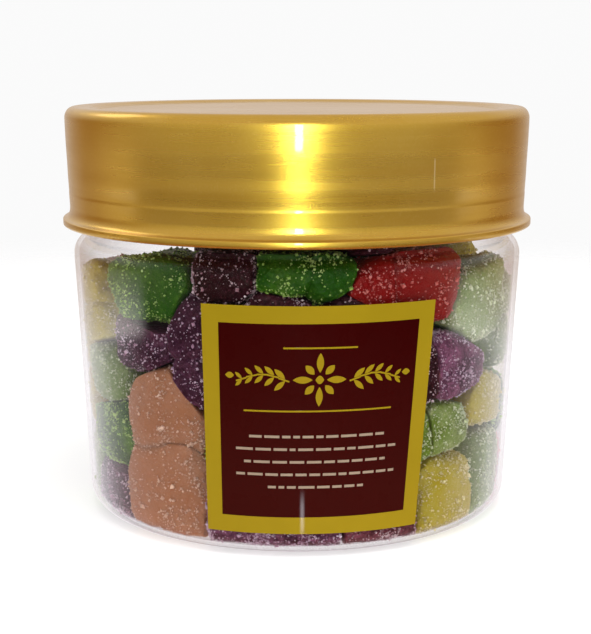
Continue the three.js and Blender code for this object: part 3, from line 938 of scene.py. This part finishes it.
def grains_on(points, quads, pressed, frost, rng):
    """Small sugar grains on the open skin of one candy, more of them where it is frosted."""
    a, b, c, d = (points[quads[:, k]] for k in range(4))
    normal = np.cross(c - a, d - b)
    area = np.linalg.norm(normal, axis=1) / 2
    normal /= np.maximum(np.linalg.norm(normal, axis=1), 1e-9)[:, None]
    middle = (a + b + c + d) / 4
    away = np.hypot(middle[:, 0], middle[:, 1])
    in_sight = (away > OPEN_FROM) | (middle[:, 2] > OPEN_ABOVE)
    open_skin = (pressed[quads].max(1) < OPEN_PRESSED) & in_sight
    local = GRAINS_LEAST + GRAINS_BY_FROST * np.minimum(FROST_COUNTED, frost[quads].mean(1))
    x, y, z = (middle * DRIFT_PITCH).T
    drift = np.sin(x + 2 * np.sin(y)) + np.sin(z * 1.3 + 2 * np.sin(x * 0.7))
    x, y, z = (middle * FINE_PITCH).T
    drift += FINE_SHARE * np.sin(x + np.sin(z)) * np.sin(y + 1.3 * np.sin(x))
    weight = area * open_skin * local * np.exp(DRIFT_STRENGTH * drift)
    count = int((area * open_skin * local).sum() * GRAINS_PER_MM2)
    if count == 0:
        return NO_GRAINS
    chosen = rng.choice(len(quads), size=count, p=weight / weight.sum())
    s, t = rng.random(count)[:, None], rng.random(count)[:, None]
    at = (a[chosen] * (1 - s) + b[chosen] * s) * (1 - t) + (d[chosen] * (1 - s) + c[chosen] * s) * t
    size = GRAIN_SIZE * np.minimum(LARGEST_GRAIN, np.exp(rng.normal(0, GRAIN_SPREAD, count)))
    size *= np.where(rng.random(count) < LUMP_SHARE, LUMP_SIZE, 1)
    at = at + normal[chosen] * (GRAIN_PROUD * size)[:, None]
    limit = inside_radius(at[:, 2], GRAIN_GAP)
    away = np.hypot(at[:, 0], at[:, 1])
    at[:, :2] *= np.minimum(1, limit / away)[:, None]
    q = rng.normal(size=(count, 4))
    q /= np.linalg.norm(q, axis=1)[:, None]
    w, x, y, z = q.T
    turn = np.array([
        [1 - 2 * (y * y + z * z), 2 * (x * y - z * w), 2 * (x * z + y * w)],
        [2 * (x * y + z * w), 1 - 2 * (x * x + z * z), 2 * (y * z - x * w)],
        [2 * (x * z - y * w), 2 * (y * z + x * w), 1 - 2 * (x * x + y * y)],
    ]).transpose(2, 0, 1)
    stretch = size[:, None] * rng.uniform(*GRAIN_STRETCH, (count, 3))
    grain_points, faces, offset = [], [], 0
    for of_kind, corners, sides in ((size < LARGE_GRAIN, *CHIP), (size >= LARGE_GRAIN, *CRYSTAL)):
        stretched = corners[None] * stretch[of_kind][:, None, :]
        grains = np.einsum("nij,nkj->nki", turn[of_kind], stretched) + at[of_kind][:, None, :]
        index = sides[None] + len(corners) * np.arange(len(grains))[:, None, None] + offset
        grain_points.append(grains.reshape(-1, 3))
        faces.append(index.reshape(-1, 3))
        offset += grains.shape[0] * grains.shape[1]
    return np.vstack(grain_points), np.vstack(faces)


def make_candies():
    """One piece for each colour of candy, with its sugar grains, and the core."""
    grids = {steps: cube_grid(steps) for steps in (SHOWN_STEPS, HIDDEN_STEPS)}
    candies = candy_list()
    shapes, skins = [], []
    for key, candy in enumerate(candies):
        hidden = candy["inner"] or candy["high"] > NECK_BOTTOM
        grid, quads = grids[HIDDEN_STEPS if hidden else SHOWN_STEPS]
        shapes.append(candy_points(candy, key, grid))
        skins.append(quads)
    for points, candy in zip(shapes, candies):
        keep_in_jar(points, candy["high"] > NECK_BOTTOM)
    pressed = press_apart(shapes, candies)
    for points, candy in zip(shapes, candies):
        candy["near_wall"] = keep_in_jar(points, candy["high"] > NECK_BOTTOM)

    rng = np.random.default_rng(SEED)
    for colour, (deep, frosted, grain) in COLOURS.items():
        points, triangles, slots, frost = [], [], [], []
        offset = 0
        for candy, shape, quads, moved in zip(candies, shapes, skins, pressed):
            if candy["colour"] != colour:
                continue
            halves = np.vstack([quads[:, [0, 1, 2]], quads[:, [0, 2, 3]]])
            rim = np.clip(moved / RIM_FROM, 0, 1) * (1 - np.clip((moved - RIM_TO) / RIM_TO, 0, 1))
            # Frosting shifted to one side: random on most candies, painted light on the listed side-lit
            # ones.
            sideways = SIDE_SHARE * candy["lean"] * candy["across"]
            skin_frost = candy["frost"] * (1 - RUBBED_SHARE * candy["near_wall"]) * (1 + sideways)
            skin_frost = skin_frost + RIM_FROST * rim
            grains, grain_faces = NO_GRAINS
            if not candy["inner"]:
                grains, grain_faces = grains_on(shape, quads, moved, skin_frost, rng)
            points += [shape, grains]
            triangles += [halves + offset, grain_faces + offset + len(shape)]
            slots += [np.zeros(len(halves)), np.ones(len(grain_faces))]
            frost += [skin_frost, np.full(len(grains), candy["frost"])]
            offset += len(shape) + len(grains)
        jelly = jelly_material("jelly_" + colour, deep, frosted)
        sugar = sugar_material("sugar_" + colour, frosted, grain)
        slots = np.concatenate(slots)
        skin = (np.vstack(points), np.vstack(triangles), [jelly, sugar], slots)
        piece = mesh_piece("candies_" + colour, *skin, np.concatenate(frost))
        piece.data.polygons.foreach_set("use_smooth", slots == 0)
        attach(piece, "root")
    core = make_core()
    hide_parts("candies")


def make_core():
    """The middle of the heap, painted dark as its shade, seen only through the chinks between candies."""
    grid, quads = cube_grid(CORE_STEPS)
    points = grid * (np.abs(grid) ** 3).sum(1)[:, None] ** (-1 / 3)
    x, y, z = points.T
    lumps = 1 + CORE_LUMPS * np.sin(x * 7) * np.sin(y * 6 + 1) * np.sin(z * 8)
    low = FLOOR_HEIGHT + CORE_ABOVE_FLOOR
    half = (CORE_TOP - low) / 2
    points = points * lumps[:, None] * (CORE_RADIUS, CORE_RADIUS, half) + (0, 0, (CORE_TOP + low) / 2)
    core = mesh_piece("candy_core", points, quads, [core_material()])
    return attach(core, "root")


# ======== stage, camera and lights
CAMERA_AWAY = 287.4  # from the jar's axis
CAMERA_HIGH = 87.2
CAMERA_DOWN = 12.56  # degrees below level
FOCAL = 1460.85  # in pixels of the photograph
PHOTO_WIDE = 591
PHOTO_TALL = 634
AXIS_ACROSS = 296.9  # where the lens axis meets the photograph, in its pixels
AXIS_DOWN = 380.0
SENSOR = 36.0
FLOOR_RADIUS = 450.0
FLOOR_CORNERS = 64
LAMP_ACROSS = 0.045  # where the mirrored lamp stands, as parts of a ray's direction
LAMP_DOWN = 0.385


def make_camera():
    data = bpy.data.cameras.new("photo_camera")
    data.sensor_width = SENSOR
    data.lens = SENSOR * FOCAL / PHOTO_TALL
    data.shift_x = (PHOTO_WIDE / 2 - AXIS_ACROSS) / PHOTO_TALL
    data.shift_y = (AXIS_DOWN - PHOTO_TALL / 2) / PHOTO_TALL
    data.clip_start = 0.01
    camera = new_object("photo_camera", data)
    camera.location = (0, -CAMERA_AWAY * MM, CAMERA_HIGH * MM)
    camera.rotation_euler = (math.radians(90 - CAMERA_DOWN), 0, 0)
    bpy.context.scene.camera = camera


def area_light(name, place, target, size, power, colour=(1, 1, 1)):
    """A light turned to a target and hidden from the camera; millimetres and watts."""
    data = bpy.data.lights.new(name, "AREA")
    data.shape = "RECTANGLE"
    data.size, data.size_y = size[0] * MM, size[1] * MM
    data.energy = power
    data.color = colour
    light = new_object(name, data)
    light.location = Vector(place) * MM
    light.rotation_euler = (Vector(target) - Vector(place)).to_track_quat("-Z", "Y").to_euler()
    light.visible_camera = False
    return light


def make_stage():
    """A pale round floor that fades out. Mirrored rays don't see it: the world holds a table for them."""
    n = Nodes("pale_floor")
    away = n.add("ShaderNodeVectorMath", {0: n.place()}, operation="LENGTH").outputs["Value"]
    fade = n.ramp(away, 0.55 * FLOOR_RADIUS * MM, 0.97 * FLOOR_RADIUS * MM)
    matt = n.add("ShaderNodeBsdfPrincipled", {
        "Base Color": (0.6, 0.6, 0.6),
        "Roughness": 0.6,
        "Emission Color": (1, 1, 1),
        "Emission Strength": 0.6,
    })
    clear = n.add("ShaderNodeBsdfTransparent")
    material = n.finish(n.add("ShaderNodeMixShader", {0: fade, 1: matt, 2: clear}))
    angles = np.linspace(0, 2 * math.pi, FLOOR_CORNERS, endpoint=False)
    ring = np.stack([np.cos(angles), np.sin(angles), np.zeros(FLOOR_CORNERS)], axis=1) * FLOOR_RADIUS
    points = np.vstack([ring, [(0, 0, 0)]])
    j = np.arange(FLOOR_CORNERS)
    triangles = np.stack([j, (j + 1) % FLOOR_CORNERS, np.full(FLOOR_CORNERS, FLOOR_CORNERS)], axis=1)
    floor = mesh_piece("floor", points, triangles, [material])
    floor.visible_glossy = False


def make_world():
    """White to the camera, soft light on the jar, and in reflections a plain room with a pale table.

    across, back and up say which way a ray goes, each from -1 to 1. A ramp is an edge in the room.
    """
    n = Nodes("studio", bpy.data.worlds)
    split = n.add("ShaderNodeSeparateXYZ", {0: n.add("ShaderNodeTexCoord").outputs["Generated"]})
    across, back, up = (split.outputs[axis] for axis in "XYZ")
    level = n.mix(n.ramp(back, -0.6, 0.4), (0.72, 0.66, 0.50), (0.37, 0.18, 0.05))
    level = n.mix(n.ramp(back, 0.6, 1.0), level, (0.72, 0.62, 0.56))
    # The table, brightest in a strip beside the jar, which hazes its sides.
    table = n.mix(n.ramp(up, -0.18, -0.40), (0.95, 0.91, 0.93), (1.15, 1.10, 1.16))
    beside_jar = n.times(n.ramp(back, 0.55, 0.15), n.ramp(up, -0.206, -0.194))
    table = n.mix(beside_jar, table, (3.0, 2.9, 2.8))
    table = n.mix(n.ramp(up, -0.45, -0.70), table, (0.28, 0.22, 0.25))
    # Its near edge, sharp in that strip and soft lower down.
    sharp_edge = n.ramp(back, -0.14, -0.02)
    soft_edge = n.ramp(back, -0.10, 0.65)
    lower_down = n.ramp(up, -0.196, -0.214)
    lit = n.mix(lower_down, sharp_edge, soft_edge)
    dark_front = n.mix(n.ramp(up, -0.24, -0.36), (0.004, 0.003, 0.003), (0.50, 0.18, 0.12))
    low = n.mix(lit, dark_front, table)
    room = n.mix(n.ramp(up, -0.20, -0.14), low, level)
    room = n.mix(n.ramp(up, 0.02, 0.35), room, (0.80, 0.70, 0.64))
    # A small lamp low down in front, which the label's gloss mirrors as a short upright streak.
    beside = n.ramp(n.math("ABSOLUTE", n.math("SUBTRACT", across, LAMP_ACROSS)), 0.024, 0.006)
    along = n.ramp(n.math("ABSOLUTE", n.math("ADD", up, LAMP_DOWN)), 0.016, 0.006)
    lamp = n.times(n.times(beside, along), n.ramp(back, -0.7, -0.8))
    room = n.mix(lamp, room, (9.0, 8.6, 9.2))
    rays = n.add("ShaderNodeLightPath")
    soft = n.mix(n.ramp(back, -0.5, 0.3), (0.20, 0.20, 0.21), (0.46, 0.46, 0.47))
    colours = (soft, room, (0.96, 0.96, 0.96))
    diffuse, mirrored, seen = (n.add("ShaderNodeBackground", {"Color": colour}) for colour in colours)
    light = n.add("ShaderNodeMixShader", {0: rays.outputs["Is Glossy Ray"], 1: diffuse, 2: mirrored})
    n.finish(n.add("ShaderNodeMixShader", {0: rays.outputs["Is Camera Ray"], 1: light, 2: seen}))
    bpy.context.scene.world = n.owner


def make_lights():
    """Three soft lights for surfaces, and a strip and a window only for reflections."""
    overhead = area_light("overhead", (80, -200, 620), (0, 0, 40), (420, 340), 3.1)
    left = area_light("left_fill", (-520, -420, 300), (0, 0, 35), (300, 400), 0.9)
    right = area_light("right_fill", (520, -420, 300), (0, 0, 35), (300, 400), 0.9)
    for light in (overhead, left, right):
        light.visible_glossy = False
    strip = area_light("front_strip", (14, -844, 171), (14, 0, 60), (52, 386), 3.6, (0.86, 1.0, 0.84))
    window = area_light("left_window", (-560, 280, 530), (0, 0, 50), (300, 300), 0.5, (1.0, 0.94, 0.92))
    for light in (strip, window):
        light.visible_diffuse = False


def set_look():
    scene = bpy.context.scene
    scene.view_settings.view_transform = "Standard"
    scene.view_settings.look = "None"
    scene.cycles.use_denoising = True
    scene.cycles.transparent_max_bounces = 16
    scene.cycles.max_bounces = 8


make_camera()
make_stage()
make_world()
make_lights()
make_jar(clear_plastic_material())
make_lid(gold_material())
make_label(
    print_material("label_gold", (0.36, 0.245, 0.008), 0.32),
    print_material("label_maroon", (0.036, 0.0003, 0.0004), 0.25),
    print_material("label_pale", (0.38, 0.28, 0.20), 0.4),
)
make_candies()
set_look()
